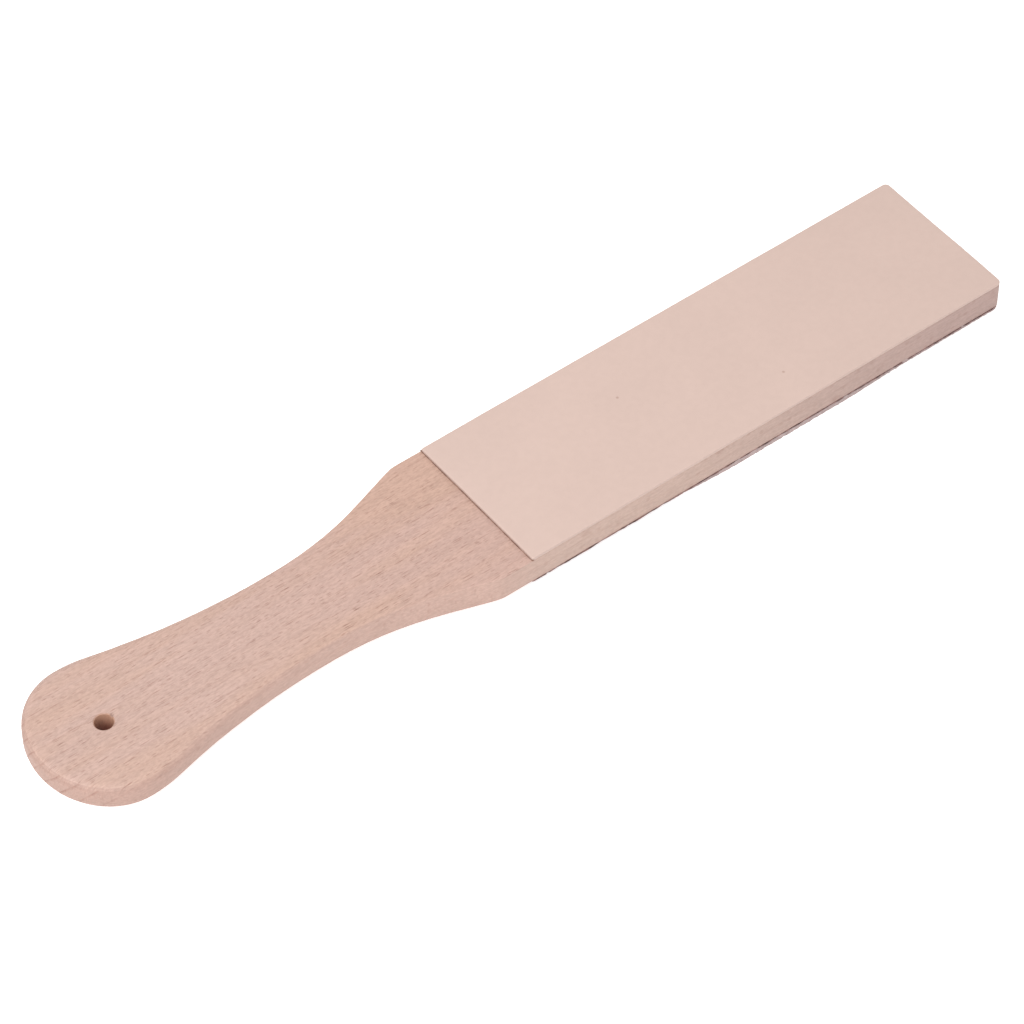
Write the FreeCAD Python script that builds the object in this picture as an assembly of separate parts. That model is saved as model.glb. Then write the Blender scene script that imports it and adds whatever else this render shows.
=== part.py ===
import FreeCAD
import Part
import math
import os

# Double-sided paddle strop: one flat beech paddle with a shaped handle, a strip of smooth
# leather glued on its upper face and a strip of suede glued on its lower face.
# Millimetres. +X runs from the handle's butt to the blade's tip, +Y across the blade and
# +Z up. The origin is under the middle of the whole strop, on the surface it lies on.

# --- driving dimensions ------------------------------------------------------------------

# wooden paddle
BLADE_LENGTH = 178.1         # shoulder corner to blade tip
BLADE_WIDTH = 50.0
WOOD_THICKNESS = 8.5
TIP_CORNER_RADIUS = 1.5      # the blade's two far corners, seen from above
HANDLE_LENGTH = 132.5        # butt to shoulder corner
POMMEL_WIDTH = 46.2          # widest place of the handle's rounded end
POMMEL_FROM_BUTT = 20.1
CHEEK_RADIUS = 40.0          # convex arc that leaves the pommel towards the neck
NECK_WIDTH = 30.0            # narrowest place of the grip
NECK_FROM_BUTT = 85.2
FLARE_STRAIGHT = 16.0        # straight run between the flare's arc and the shoulder corner
SHOULDER_RADIUS = 8.0        # rounding of the shoulder corner, seen from above
ROUND_OVER = 2.0             # radius worked along the handle's upper and lower edges

# hole for a hook or a hanging cord
HANG_HOLE_DIAMETER = 5.3
HANG_HOLE_FROM_BUTT = 20.9
HANG_HOLE_CHAMFER = 0.3      # broken edge at both mouths

# coverings
SMOOTH_LEATHER_THICKNESS = 0.8
SUEDE_THICKNESS = 2.0
LEATHER_LENGTH = 168.0       # both strips run back from the blade's tip
GLUE_THICKNESS = 0.15        # contact cement under each strip
SUEDE_TRIM = 0.8             # how far the suede stops inside the blade's sides and tip

# --- levels and stations that follow from them -------------------------------------------

OVERALL_LENGTH = HANDLE_LENGTH + BLADE_LENGTH
BUTT_X = -OVERALL_LENGTH / 2
TIP_X = OVERALL_LENGTH / 2
SHOULDER_X = BUTT_X + HANDLE_LENGTH
LEATHER_START_X = TIP_X - LEATHER_LENGTH

SUEDE_GLUE_Z = SUEDE_THICKNESS
WOOD_BOTTOM_Z = SUEDE_GLUE_Z + GLUE_THICKNESS
WOOD_TOP_Z = WOOD_BOTTOM_Z + WOOD_THICKNESS
SMOOTH_LEATHER_Z = WOOD_TOP_Z + GLUE_THICKNESS

TOUCH = 1e-4                 # distance under which two coordinates count as one


# --- outline helpers ---------------------------------------------------------------------

def point(x, y, z=0.0):
    return FreeCAD.Vector(x, y, z)


def turned(length, heading):
    """The step of a length along a heading, which is counted in radians from +X."""
    return point(length * math.cos(heading), length * math.sin(heading))


def line(start, end):
    return Part.makeLine(start, end)


def arc(start, heading, turn, radius):
    """An arc that leaves start along heading and turns left, or right for a negative turn."""
    side = math.copysign(math.pi / 2, turn)
    centre = start + turned(radius, heading + side)
    middle = centre + turned(radius, heading - side + turn / 2)
    end = centre + turned(radius, heading - side + turn)
    return Part.Arc(start, middle, end).toShape(), end


def quarter_ellipse(start, corner, end):
    """A quarter of an ellipse, tangent at its ends to the lines that meet in corner."""
    curve = Part.BezierCurve()
    curve.setPoles([start, corner, end])
    curve.setWeight(2, math.sqrt(0.5))
    return curve.toShape()


def mirrored(edges):
    return [edge.mirror(point(0, 0), point(0, 1)) for edge in edges]


def prism(edges, bottom_z, thickness):
    wire = Part.Wire(Part.__sortEdges__(edges))
    face = Part.Face(wire)
    face.translate(point(0, 0, bottom_z))
    return face.extrude(point(0, 0, thickness))


# --- paddle ------------------------------------------------------------------------------

def flare_shape():
    """Radius and final heading of the arc that widens the neck towards the shoulder.

    The arc leaves the neck along +X, and its tangent of length FLARE_STRAIGHT ends in the
    shoulder corner.
    """
    run = SHOULDER_X - (BUTT_X + NECK_FROM_BUTT)
    rise = (BLADE_WIDTH - NECK_WIDTH) / 2
    radius = (run ** 2 + rise ** 2 - FLARE_STRAIGHT ** 2) / (2 * rise)
    heading = math.atan2(run, radius - rise) - math.atan2(FLARE_STRAIGHT, radius)
    return radius, heading


def handle_side():
    """Edges of the handle's +Y side, from the butt to the start of the shoulder's rounding."""
    butt = point(BUTT_X, 0)
    pommel = point(BUTT_X + POMMEL_FROM_BUTT, POMMEL_WIDTH / 2)
    neck = point(BUTT_X + NECK_FROM_BUTT, NECK_WIDTH / 2)
    end_curve = quarter_ellipse(butt, point(BUTT_X, POMMEL_WIDTH / 2), pommel)

    bend = 2 * math.atan2(pommel.y - neck.y, neck.x - pommel.x)
    waist_radius = (neck.x - pommel.x) / math.sin(bend) - CHEEK_RADIUS
    cheek, cheek_end = arc(pommel, 0.0, -bend, CHEEK_RADIUS)
    waist, waist_end = arc(cheek_end, -bend, bend, waist_radius)

    flare_radius, flare_heading = flare_shape()
    flare, flare_end = arc(waist_end, 0.0, flare_heading, flare_radius)
    straight = FLARE_STRAIGHT - SHOULDER_RADIUS * math.tan(flare_heading / 2)
    shoulder_start = flare_end + turned(straight, flare_heading)
    run_out = line(flare_end, shoulder_start)
    return [end_curve, cheek, waist, flare, run_out], shoulder_start


def blade_side(shoulder_start):
    """Edges of the blade's +Y side, from the shoulder's rounding to the tip's end face."""
    heading = flare_shape()[1]
    shoulder, shoulder_end = arc(shoulder_start, heading, -heading, SHOULDER_RADIUS)
    corner_start = point(TIP_X - TIP_CORNER_RADIUS, shoulder_end.y)
    corner, corner_end = arc(corner_start, 0.0, -math.pi / 2, TIP_CORNER_RADIUS)
    return [shoulder, line(shoulder_end, corner_start), corner], corner_end


def across(end):
    """The straight edge from a point to its mirror image on the other side."""
    return line(end, point(end.x, -end.y))


def is_handle_rim(edge, joint_x):
    """Whether an edge runs along the top or the bottom of the handle's side."""
    box = edge.BoundBox
    return box.ZLength < TOUCH and box.XMin < joint_x - TOUCH


def hang_hole():
    """The hole with its broken edges, as a solid to cut away."""
    x = BUTT_X + HANG_HOLE_FROM_BUTT
    radius = HANG_HOLE_DIAMETER / 2
    mouth = radius + HANG_HOLE_CHAMFER
    bottom = point(x, 0, WOOD_BOTTOM_Z)
    top = point(x, 0, WOOD_TOP_Z - HANG_HOLE_CHAMFER)
    up = point(0, 0, 1)
    drill = Part.makeCylinder(radius, WOOD_THICKNESS, bottom, up)
    lower_mouth = Part.makeCone(mouth, radius, HANG_HOLE_CHAMFER, bottom, up)
    upper_mouth = Part.makeCone(radius, mouth, HANG_HOLE_CHAMFER, top, up)
    return drill.fuse([lower_mouth, upper_mouth])


def wooden_paddle():
    handle_edges, shoulder_start = handle_side()
    blade_edges, tip_end = blade_side(shoulder_start)
    joint = across(shoulder_start)
    handle = prism(handle_edges + mirrored(handle_edges) + [joint], WOOD_BOTTOM_Z,
                   WOOD_THICKNESS)
    rims = [edge for edge in handle.Edges if is_handle_rim(edge, shoulder_start.x)]
    handle = handle.makeFillet(ROUND_OVER, rims)
    blade = prism(blade_edges + mirrored(blade_edges) + [joint, across(tip_end)],
                  WOOD_BOTTOM_Z, WOOD_THICKNESS)
    return handle.fuse(blade).cut(hang_hole()).removeSplitter()


# --- coverings ---------------------------------------------------------------------------

def strip(trim, bottom_z, thickness):
    """A covering cut to the blade's outline, less a trim along its sides and its tip."""
    half_width = BLADE_WIDTH / 2 - trim
    radius = TIP_CORNER_RADIUS - trim
    start = point(LEATHER_START_X, half_width)
    corner_start = point(TIP_X - trim - radius, half_width)
    corner, corner_end = arc(corner_start, 0.0, -math.pi / 2, radius)
    side = [line(start, corner_start), corner]
    edges = side + mirrored(side) + [across(start), across(corner_end)]
    return prism(edges, bottom_z, thickness)


def main():
    os.makedirs("parts", exist_ok=True)
    nodes = {
        "wooden_paddle": wooden_paddle(),
        "smooth_leather": strip(0.0, SMOOTH_LEATHER_Z, SMOOTH_LEATHER_THICKNESS),
        "smooth_side_glue": strip(0.0, WOOD_TOP_Z, GLUE_THICKNESS),
        "suede_leather": strip(SUEDE_TRIM, 0.0, SUEDE_THICKNESS),
        "suede_side_glue": strip(SUEDE_TRIM, SUEDE_GLUE_Z, GLUE_THICKNESS),
    }
    for name, shape in nodes.items():
        shape.exportStep(f"parts/{name}.step")
        box = shape.BoundBox
        print(f"{name}: valid {shape.isValid()}, solids {len(shape.Solids)}, "
              f"volume {shape.Volume:.1f} mm3, "
              f"x {box.XMin:.2f} to {box.XMax:.2f}, y {box.YMin:.2f} to {box.YMax:.2f}, "
              f"z {box.ZMin:.2f} to {box.ZMax:.2f}")


main()
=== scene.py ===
"""Looks of a double-sided leather strop: a beech paddle, smooth leather above, suede below.

Metres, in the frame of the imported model: +X from the handle's butt to the blade's tip,
+Y across the blade, +Z up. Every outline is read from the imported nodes.
"""

import math
import random

import bmesh
import bpy
import numpy as np
from mathutils import Matrix, Vector, geometry, noise


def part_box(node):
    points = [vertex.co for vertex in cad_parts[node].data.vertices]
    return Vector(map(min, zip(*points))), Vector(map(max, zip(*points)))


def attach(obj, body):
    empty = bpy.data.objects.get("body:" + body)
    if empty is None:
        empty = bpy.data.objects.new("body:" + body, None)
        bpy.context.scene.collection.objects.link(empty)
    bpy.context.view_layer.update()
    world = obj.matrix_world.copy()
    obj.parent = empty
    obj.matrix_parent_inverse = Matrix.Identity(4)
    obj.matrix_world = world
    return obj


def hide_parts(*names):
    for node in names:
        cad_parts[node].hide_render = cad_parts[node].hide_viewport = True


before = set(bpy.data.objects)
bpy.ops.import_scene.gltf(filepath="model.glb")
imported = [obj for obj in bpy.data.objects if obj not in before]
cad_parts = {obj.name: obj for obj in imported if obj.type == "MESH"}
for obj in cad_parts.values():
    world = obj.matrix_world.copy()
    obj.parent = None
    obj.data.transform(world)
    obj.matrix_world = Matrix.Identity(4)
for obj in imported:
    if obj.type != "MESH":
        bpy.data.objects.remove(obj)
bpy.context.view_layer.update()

MM = 0.001

# camera: a long lens that looks down on the handle's near side
SENSOR_MM = 36.0
LENS_MM = 158.2
ELEVATION = math.radians(49.21)
TURN = math.radians(37.66)   # from +Y towards +X
TARGET_DISTANCE = 1.2512     # to the middle of the smooth leather
TARGET_RIGHT = 0.05674       # how far that middle is right of the view's centre
TARGET_UP = 0.04128

# light
TOP_LIGHT = 1.6              # what an upward face receives, where 1 shows its own colour
SKY_STRENGTH = 1.1
LAMP_SIZE = 1.0
LAMP_ENERGY = 12.5
LAMP_PLACE = (-0.8, -0.35, 1.0)
FLOOR_SIZE = 12.0
FLOOR_GLOW = 0.45            # keeps the floor white under the strop

# wooden paddle
POMMEL_ROUND = 2.6 * MM      # hand-worked radius of the handle's edges at the butt
BLADE_ROUND = 0.3 * MM       # the blade's edges are only broken
FADE_LENGTH = 105 * MM       # stretch before the shoulder in which that radius fades
HOLE_CHAMFER = 0.3 * MM
SPLIT_LENGTH = 0.9 * MM      # small split along the grain at the hole's upper mouth
SPLIT_ANGLE = math.radians(13)
SPLIT_WIDTH = math.radians(7)
HOLE_SIDES = 96

# coverings
SMOOTH_ROUND = 0.4 * MM      # knife-cut upper edge, pressed soft
SMOOTH_CORNER = 0.8 * MM
SUEDE_ROUND = 0.45 * MM
SUEDE_CORNER = 1.4 * MM
UNWORKED_ROUND = 0.05 * MM   # the strips' edges against the wood
SUEDE_INSET = 1.8 * MM       # the most that the suede's near edge stops inside the wood's
SUEDE_TIP_INSET = 0.6 * MM   # the same towards the tip
CUT_MOVES_OUT = (22 * MM, 60 * MM)
CUT_MOVES_IN = (98 * MM, 122 * MM)
FIBRES = 2600                # torn fibres round the suede's edge
FIBRE_LENGTH = 0.7 * MM
FIBRE_WIDTH = 0.09 * MM
GLUE_CORNER = 0.7 * MM
BEAD_ENDS = (0.2 * MM, 1.2 * MM)   # where the squeezed-out bead gives way to a trimmed side

# meshes
ROUND_STEPS = 5              # facets across a rounded edge
CORNER_STEPS = 6             # facets round a blunted corner
WELD = 1e-6                  # nearer points are one point
GRID_CLEARANCE = 0.7         # a face's grid stops this many spacings short of its rim
LIFT_FADE = 2.5              # and takes this many to reach its full height
SHADE_BREAK = math.radians(38)


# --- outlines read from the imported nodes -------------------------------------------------

LONG_FACET = 12 * MM         # a longer facet is a straight side
SHARP_TURN = math.radians(40)


def loop_length(loop):
    return sum((b - a).length for a, b in zip(loop, loop[1:] + loop[:1]))


def counter_clockwise(loop):
    area = sum(a.x * b.y - a.y * b.x for a, b in zip(loop, loop[1:] + loop[:1]))
    return loop if area > 0 else loop[::-1]


def sections(node):
    """Loops of points where a node's walls cross its middle height, the longest first."""
    low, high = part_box(node)
    bm = bmesh.new()
    bm.from_mesh(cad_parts[node].data)
    bmesh.ops.remove_doubles(bm, verts=bm.verts, dist=WELD)
    bmesh.ops.bisect_plane(bm, geom=bm.verts[:] + bm.edges[:] + bm.faces[:],
                           plane_co=(0, 0, (low.z + high.z) / 2), plane_no=(0, 0, 1),
                           clear_inner=True, clear_outer=True)
    bmesh.ops.remove_doubles(bm, verts=bm.verts, dist=WELD)   # slivers leave twins
    loops, seen_verts = [], set()
    for start in sorted(bm.verts, key=lambda v: (round(v.co.x, 7), round(v.co.y, 7))):
        loop, vert = [], start
        while vert and vert not in seen_verts:
            seen_verts.add(vert)
            loop.append(vert.co.xy.copy())
            onward = [e.other_vert(vert) for e in vert.link_edges]
            vert = next((v for v in onward if v not in seen_verts), None)
        if loop:
            loops.append(counter_clockwise(loop))
    bm.free()
    return sorted(loops, key=loop_length, reverse=True)


def smoothed(loop, step):
    """Points at most a step apart on a smooth curve through a faceted loop's corners."""
    count = len(loop)
    chords = [loop[(i + 1) % count] - loop[i] for i in range(count)]

    def tangent(i, own):
        before, after = chords[i - 1], chords[i % count]
        if own.length > LONG_FACET or abs(before.angle(after)) > SHARP_TURN:
            return own.normalized()
        if before.length > LONG_FACET:
            return before.normalized()
        if after.length > LONG_FACET:
            return after.normalized()
        mixed = before.normalized() * after.length + after.normalized() * before.length
        return mixed.normalized()

    points = []
    for i, chord in enumerate(chords):
        start, end = loop[i], loop[(i + 1) % count]
        leave = tangent(i, chord) * chord.length
        arrive = tangent(i + 1, chord) * chord.length
        pieces = max(1, math.ceil(chord.length / step))
        for k in range(pieces):
            t = k / pieces
            points.append(start * (2 * t ** 3 - 3 * t ** 2 + 1)
                          + leave * (t ** 3 - 2 * t ** 2 + t)
                          + end * (3 * t ** 2 - 2 * t ** 3)
                          + arrive * (t ** 3 - t ** 2))
    return points


def blunted(loop, radius):
    """A loop whose sharp corners are rounded, as a knife and a thumb leave them."""
    points = []
    for before, corner, after in zip(loop[-1:] + loop[:-1], loop, loop[1:] + loop[:1]):
        arrive, leave = (corner - before).normalized(), (after - corner).normalized()
        if abs(arrive.angle(leave)) < SHARP_TURN:
            points.append(corner)
            continue
        start, end = corner - arrive * radius, corner + leave * radius
        for k in range(CORNER_STEPS + 1):
            t = k / CORNER_STEPS
            points.append(start * (1 - t) ** 2 + corner * 2 * t * (1 - t) + end * t ** 2)
    return points


def outward(loop):
    """Unit normals of a counter-clockwise loop."""
    normals = []
    for before, after in zip(loop[-1:] + loop[:-1], loop[1:] + loop[:1]):
        along = (after - before).normalized()
        normals.append(Vector((along.y, -along.x)))
    return normals


# --- closed slabs with worked edges ------------------------------------------------------

def smoothstep(x, low, high):
    t = min(1.0, max(0.0, (x - low) / (high - low)))
    return t * t * (3 - 2 * t)


def wobble(x, y, z, size, seed):
    """Smooth noise from -1 to 1 with features of a size."""
    return noise.noise(Vector((x / size + seed, y / size, z / size)))


def inside(points, loop):
    """Which of the points, an array of rows x and y, lie inside a loop."""
    found = np.zeros(len(points), bool)
    for a, b in zip(loop, loop[1:] + loop[:1]):
        crosses = (a.y > points[:, 1]) != (b.y > points[:, 1])
        slope = (b.x - a.x) / (b.y - a.y) if a.y != b.y else 0.0
        found ^= crosses & (points[:, 0] < a.x + slope * (points[:, 1] - a.y))
    return found


def edge_distance(points, loops):
    """Distance from each point to the nearest corner of the loops."""
    nearest = np.full(len(points), np.inf)
    for loop in loops:
        for corner in loop:
            away = np.hypot(points[:, 0] - corner.x, points[:, 1] - corner.y)
            nearest = np.minimum(nearest, away)
    return nearest


def cap(outer, holes, spacing):
    """Triangles that fill a loop around its holes, with a grid of points between.

    Returns the grid's points, their distances from the rim, and triangles that count the
    loops' corners first, in order, and then the grid's points.
    """
    low = Vector((min(p.x for p in outer), min(p.y for p in outer)))
    high = Vector((max(p.x for p in outer), max(p.y for p in outer)))
    across = np.arange(low.x, high.x, spacing)
    up = np.arange(low.y, high.y, spacing)
    grid = np.array([(x, y) for x in across for y in up])
    keep = inside(grid, outer)
    for hole in holes:
        keep &= ~inside(grid, hole)
    grid = grid[keep]
    away = edge_distance(grid, [outer, *holes])
    clear = away > GRID_CLEARANCE * spacing
    grid, away = grid[clear], away[clear]

    loops = [outer, *holes]
    corners, edges = [], []
    for loop in loops:
        first = len(corners)
        corners += loop
        edges += [(first + i, first + (i + 1) % len(loop)) for i in range(len(loop))]
    everything = corners + [Vector(p) for p in grid]
    result = geometry.delaunay_2d_cdt(everything, edges, [], 1, 1e-9)
    places, faces, origins = np.array(result[0]), np.array(result[2]), result[3]
    middles = places[faces].mean(axis=1)
    keep = np.ones(len(faces), bool)
    for hole in holes:
        keep &= ~inside(middles, hole)
    return grid, away, [[origins[i][0] for i in face] for face in faces[keep]]


def straight(x, y, z):
    """A wall that follows its outline."""
    return 0.0


def flat(x, y):
    """A face that stays in its plane."""
    return 0.0


def slab(name, loop, low, high, top_round, bottom_round, wave=straight, hole=(),
         spacing=1.5 * MM, top_lift=flat, bottom_lift=flat):
    """A closed solid from a loop, with rounded upper and lower rims.

    top_round and bottom_round give the radius at a rim point, wave gives how far the wall
    stands out at a point, hole is a list of rings from the lower mouth to the upper one,
    and the lifts give the height of the faces' grid points above their plane.
    """
    normals = outward(loop)
    rows = []
    for k in range(ROUND_STEPS + 1):
        angle = math.pi / 2 * k / ROUND_STEPS
        rows.append((bottom_round, 1 - math.sin(angle), low, 1 - math.cos(angle)))
    for k in range(ROUND_STEPS + 1):
        angle = math.pi / 2 * k / ROUND_STEPS
        rows.append((top_round, 1 - math.cos(angle), high, math.sin(angle) - 1))
    verts, faces, rims = [], [], []
    for radius_at, inset, level, rise in rows:
        rims.append(len(verts))
        for point, normal in zip(loop, normals):
            radius = radius_at(point.x, point.y)
            z = level + rise * radius
            place = point + normal * (wave(point.x, point.y, z) - inset * radius)
            verts.append((place.x, place.y, z))
    size = len(loop)
    for first, second in zip(rims, rims[1:]):
        faces += [(first + i, first + (i + 1) % size,
                   second + (i + 1) % size, second + i) for i in range(size)]

    mouths = []
    for ring in hole:
        mouths.append(len(verts))
        verts += ring
    for first, second in zip(mouths, mouths[1:]):
        count = len(hole[0])
        faces += [(first + i, second + i, second + (i + 1) % count,
                   first + (i + 1) % count) for i in range(count)]

    sides = [(rims[0], mouths[:1], low, bottom_lift, -1),
             (rims[-1], mouths[-1:], high, top_lift, 1)]
    for rim, mouth, level, lift, facing in sides:
        starts = [(rim, size)] + [(m, len(hole[0])) for m in mouth]
        loops = [[Vector(verts[s + i][:2]) for i in range(n)] for s, n in starts]
        index = [s + i for s, n in starts for i in range(n)]
        grid, away, triangles = cap(loops[0], loops[1:], spacing)
        for (x, y), distance in zip(grid, away):
            fade = smoothstep(distance, 0, LIFT_FADE * spacing)
            index.append(len(verts))
            verts.append((x, y, level + fade * lift(x, y)))
        for triangle in triangles:
            corners = [index[i] for i in triangle]
            faces.append(corners if facing > 0 else corners[::-1])
    return new_object(name, verts, faces)


def new_object(name, verts, faces):
    mesh = bpy.data.meshes.new(name)
    mesh.from_pydata(verts, [], faces)
    mesh.validate()
    mesh.polygons.foreach_set("use_smooth", [True] * len(mesh.polygons))
    mesh.set_sharp_from_angle(angle=SHADE_BREAK)
    made = bpy.data.objects.new(name, mesh)
    bpy.context.scene.collection.objects.link(made)
    return made


# --- the strop's pieces ------------------------------------------------------------------

def shoulder_x(loop):
    """Where the blade's parallel sides begin."""
    half = max(p.y for p in loop)
    return min(p.x for p in loop if abs(p.y) > half - 0.05 * MM)


def middle(circle):
    return sum(circle, Vector((0, 0))) / len(circle)


def hole_rings(circle, low, high):
    """The hanging hole's wall, from its lower mouth up, with a split at the upper mouth."""
    centre = middle(circle)
    radius = sum((p - centre).length for p in circle) / len(circle)
    levels = [(low, HOLE_CHAMFER, 0.0), (low + HOLE_CHAMFER, 0.0, 0.0)]
    for share in (0.25, 0.5, 0.75):
        levels.append((low + share * (high - low), 0.0, 0.0))
    levels.append((high - 3 * HOLE_CHAMFER, 0.0, 0.25))
    levels.append((high - HOLE_CHAMFER, 0.0, 0.8))
    levels.append((high, HOLE_CHAMFER, 1.0))
    rings = []
    for z, flare, split in levels:
        ring = []
        for k in range(HOLE_SIDES):
            angle = 2 * math.pi * k / HOLE_SIDES
            off = math.remainder(angle - SPLIT_ANGLE, 2 * math.pi) / SPLIT_WIDTH
            reach = radius + flare * (1 + 0.5 * wobble(angle, z, 0, 0.4, 3.0))
            reach += split * SPLIT_LENGTH * math.exp(-off * off)
            ring.append((centre.x + reach * math.cos(angle),
                         centre.y + reach * math.sin(angle), z))
        rings.append(ring)
    return rings


def make_paddle():
    low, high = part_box("wooden_paddle")
    outline, circle = sections("wooden_paddle")
    loop = smoothed(outline, 0.8 * MM)
    shoulder = shoulder_x(loop)

    def rim_radius(x, y):
        fade = smoothstep(x, shoulder - FADE_LENGTH, shoulder)
        uneven = 1 + 0.12 * wobble(x, y, 0, 14 * MM, 5.0)
        return (POMMEL_ROUND + (BLADE_ROUND - POMMEL_ROUND) * fade) * uneven

    def wave(x, y, z):
        by_hand = 1 - 0.8 * smoothstep(x, shoulder - 10 * MM, shoulder)
        return by_hand * 0.09 * MM * wobble(x, y, z, 17 * MM, 1.0)

    def planed(x, y):
        return 0.03 * MM * wobble(x / 3, y, 0, 5 * MM, 9.0)

    paddle = slab("beech_paddle", loop, low.z, high.z, rim_radius, rim_radius, wave,
                  hole_rings(circle, low.z, high.z), 1.6 * MM, planed, planed)
    centre = middle(circle)
    paddle.data.materials.append(beech(centre, (circle[0] - centre).length))
    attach(paddle, "root")
    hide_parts("wooden_paddle")


def make_smooth_leather():
    low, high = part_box("smooth_leather")
    loop = smoothed(blunted(sections("smooth_leather")[0], SMOOTH_CORNER), 0.7 * MM)

    def knife(x, y, z):
        drift = 0.1 * MM * wobble(x, y, 0, 22 * MM, 2.0)
        return drift + 0.03 * MM * wobble(x, y, z, 1.5 * MM, 4.0)

    def hide(x, y):
        return 0.05 * MM * wobble(x, y, 0, 26 * MM, 6.0) \
            + 0.015 * MM * wobble(x, y, 0, 2.5 * MM, 7.0)

    leather = slab("smooth_leather_strip", loop, low.z, high.z,
                   lambda x, y: SMOOTH_ROUND, lambda x, y: UNWORKED_ROUND, knife,
                   spacing=1.0 * MM, top_lift=hide)
    leather.data.materials.append(smooth_hide())
    finish_sheet(leather, "smooth_leather")


def near_cut(x):
    """How far the suede's near edge stops inside the wood's.

    The cut drifts out, meets the wood's edge about the blade's middle, and comes a little
    way back in towards the tip.
    """
    outwards = smoothstep(x, *CUT_MOVES_OUT)
    inwards = smoothstep(x, *CUT_MOVES_IN)
    return SUEDE_INSET * (1 - outwards) + SUEDE_TIP_INSET * inwards


def hand_cut(loop, wood_half, spare=0.0):
    """A plain outline, moved to where the knife really ran on either side.

    With some spare, the near edge reaches that much further out, but not past the wood.
    """
    half = max(p.y for p in loop)
    moved = []
    for p in loop:
        if p.y < 0:
            edge = wood_half - max(0.0, near_cut(p.x) - spare)
        else:
            edge = half + 0.6 * MM * wobble(p.x, 0, 0, 30 * MM, 12.0)
        moved.append(Vector((p.x, p.y * edge / half)))
    return moved


def fuzz(x, y, z):
    """The torn fibres of the suede's edge, as a distance out from its outline."""
    return 0.16 * MM * wobble(x, y, z, 1.1 * MM, 14.0) \
        + 0.1 * MM * wobble(x, y, z, 0.5 * MM, 15.0)


def add_fibres(suede, loop, low_z, high_z):
    """Torn fibres round the edge, each a tapered three-sided spike rooted in the suede."""
    mesh = bmesh.new()
    mesh.from_mesh(suede.data)
    normals = outward(loop)
    for _ in range(FIBRES):
        i = random.randrange(len(loop))
        out = Vector((normals[i].x, normals[i].y, 0))
        along = Vector((-out.y, out.x, 0))
        level = random.uniform(low_z + 0.35 * MM, high_z - 0.2 * MM)
        root = Vector((loop[i].x, loop[i].y, level)) - out * 0.2 * MM
        length = FIBRE_LENGTH * random.uniform(0.5, 1.2)
        lean = along * random.uniform(-0.8, 0.8) + Vector((0, 0, random.uniform(-0.35, 0.25)))
        tip = root + (out + lean).normalized() * length
        tip.z = min(high_z, max(low_z + 0.05 * MM, tip.z))
        width = FIBRE_WIDTH * random.uniform(0.6, 1.3)
        ring = []
        for k in range(3):
            angle = 2 * math.pi * k / 3
            foot = root + along * width * math.cos(angle)
            foot.z += width * math.sin(angle)
            ring.append(mesh.verts.new(foot))
        point = mesh.verts.new(tip)
        mesh.faces.new(ring[::-1])
        for k in range(3):
            mesh.faces.new((ring[k], ring[(k + 1) % 3], point))
    mesh.to_mesh(suede.data)
    mesh.free()


def make_suede():
    low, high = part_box("suede_leather")
    paddle_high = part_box("wooden_paddle")[1]
    loop = smoothed(blunted(sections("suede_leather")[0], SUEDE_CORNER), 0.45 * MM)
    loop = hand_cut(loop, paddle_high.y)

    def nap(x, y):
        return 0.03 * MM * abs(wobble(x, y, 0, 2.2 * MM, 21.0)) \
            + 0.06 * MM * abs(wobble(x, y, 0, 9 * MM, 22.0))

    suede = slab("suede_strip", loop, low.z, high.z, lambda x, y: UNWORKED_ROUND,
                 lambda x, y: SUEDE_ROUND, fuzz, spacing=0.8 * MM, bottom_lift=nap)
    add_fibres(suede, loop, low.z, high.z)
    suede.data.materials.append(flesh_side())
    finish_sheet(suede, "suede_leather")


def finish_sheet(piece, node):
    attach(piece, "root")
    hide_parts(node)


def make_glue(name, node, loop, wave, swell, material):
    """A glue film whose rim is squeezed out into a bead, swell times as tall as the film."""
    low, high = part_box(node)

    def rounded(x, y):
        return (high.z - low.z) * 0.4

    glue = slab(name, loop, low.z, high.z, rounded, rounded, wave)
    half_way = (low.z + high.z) / 2
    for vert in glue.data.vertices[:2 * (ROUND_STEPS + 1) * len(loop)]:
        tall = swell(vert.co.x, vert.co.y)
        vert.co.z = half_way + (vert.co.z - half_way) * tall
    glue.data.update()
    glue.data.materials.append(material)
    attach(glue, "root")
    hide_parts(node)


def make_upper_glue():
    """Trimmed with the leather along the sides, and left as squeezed out at its back end."""
    node = "smooth_side_glue"
    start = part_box(node)[0].x

    def trimmed(x):
        return smoothstep(x, start + BEAD_ENDS[0], start + BEAD_ENDS[1])

    def wave(x, y, z):
        bead = (0.15 + 0.1 * wobble(x, y, 0, 2 * MM, 31.0)) * MM
        return bead * (1 - trimmed(x)) - 0.04 * MM * trimmed(x)

    def swell(x, y):
        return 1 + (0.3 + 0.4 * wobble(x, y, 0, 3 * MM, 33.0)) * (1 - trimmed(x))

    loop = smoothed(sections(node)[0], 0.5 * MM)
    make_glue("upper_glue_line", node, loop, wave, swell, cement("cement", start))


def make_lower_glue():
    """Spread to the wood's near edge and left there, a dark line broken by nicks, partly glue
    and partly painted shadow of the gap between wood and suede.
    """
    node = "suede_side_glue"

    def wave(x, y, z):
        nick = smoothstep(wobble(x, y, 0, 3.2 * MM, 35.0), 0.3, 0.5)
        return (0.14 + 0.2 * wobble(x, y, 0, 2.4 * MM, 32.0) - 0.7 * nick) * MM

    def swell(x, y):
        return 2.2 + 1.3 * wobble(x, y, 0, 3.5 * MM, 34.0)

    loop = smoothed(blunted(sections(node)[0], GLUE_CORNER), 0.45 * MM)
    loop = hand_cut(loop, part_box("wooden_paddle")[1].y, SUEDE_INSET)
    make_glue("lower_glue_line", node, loop, wave, swell, cement("dark_cement_and_gap_shadow"))


# --- materials ---------------------------------------------------------------------------

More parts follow.
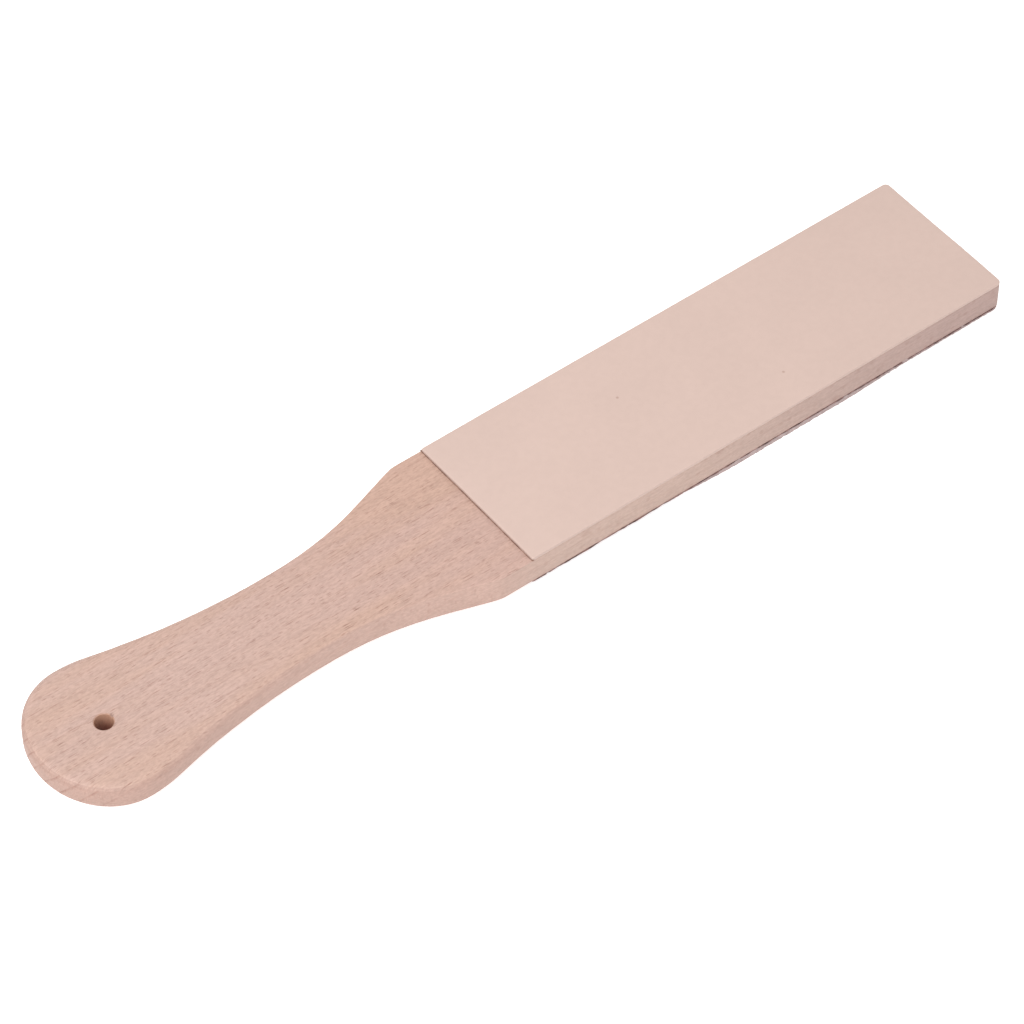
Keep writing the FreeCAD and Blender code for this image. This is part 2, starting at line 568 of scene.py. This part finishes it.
def seen(red, green, blue):
    """The colour a surface needs to show 8-bit screen values under the top light."""
    def linear(value):
        value /= 255
        return value / 12.92 if value <= 0.04045 else ((value + 0.055) / 1.055) ** 2.4
    return tuple(linear(v) / TOP_LIGHT for v in (red, green, blue)) + (1.0,)


class Surface:
    """A material's node tree, with short calls for the nodes used here."""

    def __init__(self, name, roughness, **constants):
        self.material = bpy.data.materials.new(name)
        self.material.use_nodes = True
        self.tree = self.material.node_tree
        self.shader = self.tree.nodes["Principled BSDF"]
        self.shader.inputs["Roughness"].default_value = roughness
        for key, value in constants.items():
            self.shader.inputs[key.replace("_", " ")].default_value = value
        self.place = self.tree.nodes.new("ShaderNodeTexCoord").outputs["Object"]

    def put(self, socket, value):
        if isinstance(value, bpy.types.NodeSocket):
            self.tree.links.new(value, socket)
        else:
            socket.default_value = value

    def add(self, kind, inputs, **settings):
        node = self.tree.nodes.new("ShaderNode" + kind)
        for key, value in settings.items():
            setattr(node, key, value)
        for key, value in inputs.items():
            self.put(node.inputs[key], value)
        return node

    def scaled(self, x, y, z, place=None):
        """Coordinates counted in features per metre along each axis."""
        return self.add("Mapping", {"Vector": place or self.place,
                                    "Scale": (x, y, z)}).outputs[0]

    def axis(self, index):
        """A place's own coordinate along one axis."""
        return self.add("SeparateXYZ", {0: self.place}).outputs[index]

    def facing(self, index):
        """How squarely the bare surface faces along one axis, either way."""
        normal = self.add("NewGeometry", {}).outputs["True Normal"]
        return self.math("ABSOLUTE", self.add("SeparateXYZ", {0: normal}).outputs[index])

    def noise(self, place, detail=2.0, roughness=0.5):
        return self.add("TexNoise", {"Vector": place, "Scale": 1.0, "Detail": detail,
                                     "Roughness": roughness}).outputs[0]

    def cells(self, place):
        """Distance to the nearest cell's middle, and a random number for each cell."""
        node = self.add("TexVoronoi", {"Vector": place, "Scale": 1.0,
                                       "Randomness": 1.0})
        split = self.add("SeparateColor", {"Color": node.outputs["Color"]})
        return node.outputs["Distance"], split.outputs[0]

    def math(self, operation, a, b=0.0):
        return self.add("Math", {0: a, 1: b}, operation=operation).outputs[0]

    def ramp(self, value, low, high, to_low=0.0, to_high=1.0):
        """A value carried smoothly from low to high onto to_low to to_high."""
        return self.add("MapRange", {"Value": value, "From Min": low, "From Max": high,
                                     "To Min": to_low, "To Max": to_high},
                        interpolation_type="SMOOTHSTEP").outputs[0]

    def mix(self, factor, a, b):
        return self.add("Mix", {0: factor, 6: a, 7: b}, data_type="RGBA").outputs[2]

    def darken(self, colour, amount):
        """A colour times 1 less an amount."""
        keep = self.math("SUBTRACT", 1.0, amount)
        if isinstance(colour, tuple):
            colour = colour[:3]
        return self.add("VectorMath", {0: colour, 3: keep}, operation="SCALE").outputs[0]

    def finish(self, colour, height, distance):
        self.put(self.shader.inputs["Base Color"], colour)
        bump = self.add("Bump", {"Height": height, "Distance": distance, "Strength": 1.0})
        self.put(self.shader.inputs["Normal"], bump.outputs[0])
        return self.material


def beech(hole_middle, hole_radius):
    s = Surface("beech", 0.62, Specular_IOR_Level=0.3)
    sway = s.noise(s.scaled(14, 30, 30), 1.0)
    shift = s.add("CombineXYZ", {1: s.math("MULTIPLY", sway, 1.6 * MM)}).outputs[0]
    place = s.add("VectorMath", {0: s.place, 1: shift}, operation="ADD").outputs[0]
    along = s.axis(0)
    sanded = s.ramp(s.facing(2), 0.92, 0.55)
    end_grain = s.ramp(s.facing(0), 0.35, 0.8)

    # the face: pink beech with golden patches, a little deeper in colour towards the blade
    tint = s.ramp(s.noise(s.scaled(11, 70, 55, place), 3.0), 0.38, 0.62)
    blade_side = s.ramp(along, -110 * MM, 0)
    pink = s.mix(blade_side, seen(226, 191, 178), seen(226, 188, 174))
    golden = s.mix(blade_side, seen(225, 188, 171), seen(227, 187, 168))
    face = s.mix(tint, pink, golden)
    # the sides: pinker on the handle, greyer on the blade, with painted shade darkening the
    # blade's side towards its tip
    handle_side = s.mix(s.ramp(along, -160 * MM, -60 * MM), seen(203, 167, 153),
                        seen(212, 177, 163))
    blade = s.mix(s.ramp(along, 20 * MM, 150 * MM), seen(213, 183, 169), seen(196, 166, 157))
    side = s.mix(s.ramp(along, -30 * MM, 0), handle_side, blade)
    colour = s.mix(sanded, face, side)

    # growth rings round a pith that lies below the board and to one side
    rings = s.add("TexWave", {"Vector": s.add("Mapping", {
        "Vector": place, "Location": (0.0, 0.105, 0.06), "Scale": (0.16, 1, 1)}).outputs[0],
        "Scale": 75.0, "Distortion": 3.5, "Detail": 2.0, "Detail Scale": 0.6},
        wave_type="RINGS", rings_direction="X", wave_profile="SAW").outputs["Fac"]
    late = s.math("MULTIPLY", s.ramp(rings, 0.8, 0.97), s.ramp(end_grain, 0, 1, 0.16, 0.75))
    late = s.math("MULTIPLY", late, s.ramp(s.noise(s.scaled(60, 160, 160)), 0.35, 0.6, 0.4, 1))

    # figure along the grain, from broad bands down to grit, then short dashes and streaks
    band = s.ramp(s.noise(s.scaled(5, 240, 160, place), 2.0), 0.3, 0.75, 0.0, 0.05)
    fibre = s.ramp(s.noise(s.scaled(150, 1800, 1800, place), 3.0, 0.65), 0.3, 0.7, 0.0, 0.09)
    grit = s.ramp(s.noise(s.scaled(900, 2200, 2200, place), 2.0), 0.35, 0.65, 0.0, 0.1)
    near, pick = s.cells(s.scaled(400, 2900, 420, place))
    dash = s.math("MULTIPLY", s.ramp(near, 0.45, 0.14), s.ramp(pick, 0.25, 0.95))
    far, other = s.cells(s.scaled(170, 2000, 260, place))
    streak = s.math("MULTIPLY", s.ramp(far, 0.42, 0.12), s.ramp(other, 0.6, 1.0))
    flecks = s.math("ADD", s.math("MULTIPLY", dash, 0.34),
                    s.math("MULTIPLY", streak, 0.38))
    flecks = s.math("MULTIPLY", flecks, s.ramp(sanded, 0, 1, 1.0, 0.45))
    pores = s.ramp(s.cells(s.scaled(1500, 2300, 2300))[0], 0.3, 0.1)
    dark = s.math("ADD", flecks, s.math("MULTIPLY", s.math("MULTIPLY", pores, end_grain), 0.2))
    dark = s.math("ADD", dark, s.math("MULTIPLY", late, 0.5))
    colour = s.darken(colour, s.math("ADD", band, s.math("ADD", fibre, grit)))
    colour = s.mix(dark, colour, seen(132, 76, 56))

    # the hole's wall, a redder brown, with painted shade that darkens it the deeper it goes
    off = s.add("VectorMath", {0: s.place, 1: (-hole_middle.x, -hole_middle.y, 0)},
                operation="ADD").outputs[0]
    flat = s.add("VectorMath", {0: off, 1: (1, 1, 0)}, operation="MULTIPLY").outputs[0]
    reach = s.add("VectorMath", {0: flat}, operation="LENGTH").outputs["Value"]
    wall = s.math("MULTIPLY", s.ramp(reach, hole_radius + 0.3 * MM, hole_radius + 0.1 * MM),
                  sanded)
    low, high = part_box("wooden_paddle")
    # painted shade: lighter at the upper mouth, darker towards the lower one
    hole_wall_and_depth_shade = s.mix(s.ramp(s.axis(2), high.z - 0.5 * MM, low.z + 1.5 * MM),
                     seen(216, 168, 142), seen(150, 82, 58))
    colour = s.mix(wall, colour, hole_wall_and_depth_shade)
    height = s.math("SUBTRACT", s.math("MULTIPLY", fibre, -2.0), flecks)
    return s.finish(colour, height, 0.12 * MM)


def smooth_hide():
    s = Surface("smooth_hide", 0.55, Specular_IOR_Level=0.35)
    cloud = s.ramp(s.noise(s.scaled(45, 45, 45), 3.0), 0.3, 0.7, 0.0, 0.025)
    mottle = s.ramp(s.noise(s.scaled(420, 420, 420), 3.0), 0.3, 0.7, 0.0, 0.02)
    pore, depth = s.cells(s.scaled(1900, 1900, 1900))
    pit = s.math("MULTIPLY", s.ramp(pore, 0.35, 0.05), s.ramp(depth, 0.3, 1.0))
    spot, rare = s.cells(s.scaled(95, 95, 95))
    speck = s.math("MULTIPLY", s.ramp(spot, 0.05, 0.025), s.ramp(rare, 0.9, 0.93))
    # painted shade: the face turns a little darker towards the tip, where less light falls
    painted_tip_shade = s.ramp(s.axis(0), 60 * MM, 130 * MM, 0.0, 0.025)
    colour = s.darken(seen(229, 201, 189), s.math("ADD", s.math("ADD", cloud, mottle), painted_tip_shade))
    colour = s.mix(s.math("MULTIPLY", pit, 0.05), colour, seen(170, 130, 110))
    colour = s.mix(s.math("MULTIPLY", speck, 0.35), colour, seen(150, 105, 85))
    # the cut edge and its rounded rim, a little darker than the face
    cut = s.ramp(s.facing(2), 0.97, 0.4)
    thread = s.ramp(s.noise(s.scaled(900, 900, 2600), 3.0), 0.3, 0.7, 0.0, 0.08)
    colour = s.mix(cut, colour, s.darken(seen(214, 187, 176), thread))
    height = s.math("ADD", s.math("MULTIPLY", pit, -0.6), mottle)
    return s.finish(colour, height, 0.06 * MM)


def flesh_side():
    s = Surface("flesh_side", 0.95, Specular_IOR_Level=0.1, Sheen_Weight=0.25)
    clump = s.ramp(s.noise(s.scaled(500, 1400, 1400), 5.0, 0.7), 0.25, 0.75)
    hair = s.ramp(s.noise(s.scaled(2500, 5000, 5000), 3.0, 0.7), 0.3, 0.7)
    brushed = s.ramp(s.noise(s.scaled(30, 70, 70), 3.0), 0.35, 0.65, 0.0, 0.08)
    colour = s.mix(clump, seen(192, 168, 166), seen(226, 202, 198))
    colour = s.darken(colour, s.math("ADD", s.math("MULTIPLY", hair, 0.12), brushed))
    height = s.math("ADD", clump, s.math("MULTIPLY", hair, 0.4))
    return s.finish(colour, height, 0.12 * MM)


def cement(name, start=None):
    """Dried contact cement, dark where it stands out and pale on sides trimmed after start;
    without a start it is dark all over, partly cement and partly painted shadow of the gap it
    fills.
    """
    s = Surface(name, 0.45)
    blot = s.ramp(s.noise(s.scaled(600, 600, 600), 3.0), 0.35, 0.65)
    if start is None:
        # without a start: dark cement, partly painted shadow of the gap between wood and suede
        colour = s.mix(blot, seen(78, 42, 40), seen(158, 118, 112))
    else:
        dark = s.mix(blot, seen(124, 84, 68), seen(170, 130, 112))
        trimmed = s.ramp(s.axis(0), start + BEAD_ENDS[0], start + BEAD_ENDS[1])
        colour = s.mix(trimmed, dark, seen(226, 197, 184))
    return s.finish(colour, blot, 0.1 * MM)


def floor_white():
    s = Surface("floor_white", 0.9, Specular_IOR_Level=0.0, Emission_Strength=FLOOR_GLOW,
                Emission_Color=(1.0, 1.0, 1.0, 1.0))
    s.shader.inputs["Base Color"].default_value = (0.92, 0.92, 0.92, 1.0)
    return s.material


# --- studio ------------------------------------------------------------------------------

def make_floor():
    half = FLOOR_SIZE / 2
    corners = [(-half, -half, 0), (half, -half, 0), (half, half, 0), (-half, half, 0)]
    floor = new_object("floor", corners, [(0, 1, 2, 3)])
    floor.data.materials.append(floor_white())


def make_light():
    world = bpy.data.worlds.new("studio")
    world.use_nodes = True
    background = world.node_tree.nodes["Background"]
    background.inputs["Color"].default_value = (1.0, 1.0, 1.0, 1.0)
    background.inputs["Strength"].default_value = SKY_STRENGTH
    bpy.context.scene.world = world

    lamp = bpy.data.lights.new("soft_box", "AREA")
    lamp.shape = "DISK"
    lamp.size = LAMP_SIZE
    lamp.energy = LAMP_ENERGY
    soft_box = bpy.data.objects.new("soft_box", lamp)
    soft_box.location = LAMP_PLACE
    aim = Vector((0, 0, 0)) - soft_box.location
    soft_box.rotation_euler = aim.to_track_quat("-Z", "Y").to_euler()
    bpy.context.scene.collection.objects.link(soft_box)


def make_camera():
    low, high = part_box("smooth_leather")
    target = Vector(((low.x + high.x) / 2, (low.y + high.y) / 2, high.z))
    right = Vector((math.cos(TURN), -math.sin(TURN), 0))
    onward = Vector((math.sin(TURN), math.cos(TURN), 0))
    up_z = Vector((0, 0, 1))
    view = onward * math.cos(ELEVATION) - up_z * math.sin(ELEVATION)
    up = onward * math.sin(ELEVATION) + up_z * math.cos(ELEVATION)
    data = bpy.data.cameras.new("camera")
    data.sensor_width = SENSOR_MM
    data.lens = LENS_MM
    data.clip_end = 100.0
    camera = bpy.data.objects.new("camera", data)
    place = target - right * TARGET_RIGHT - up * TARGET_UP - view * TARGET_DISTANCE
    turn = Matrix((right, up, -view)).transposed().to_4x4()
    camera.matrix_world = Matrix.Translation(place) @ turn
    bpy.context.scene.collection.objects.link(camera)
    bpy.context.scene.camera = camera


def main():
    random.seed(7)
    make_camera()
    make_light()
    make_floor()
    bpy.context.scene.view_settings.view_transform = "Standard"
    make_paddle()
    make_smooth_leather()
    make_suede()
    make_upper_glue()
    make_lower_glue()


main()
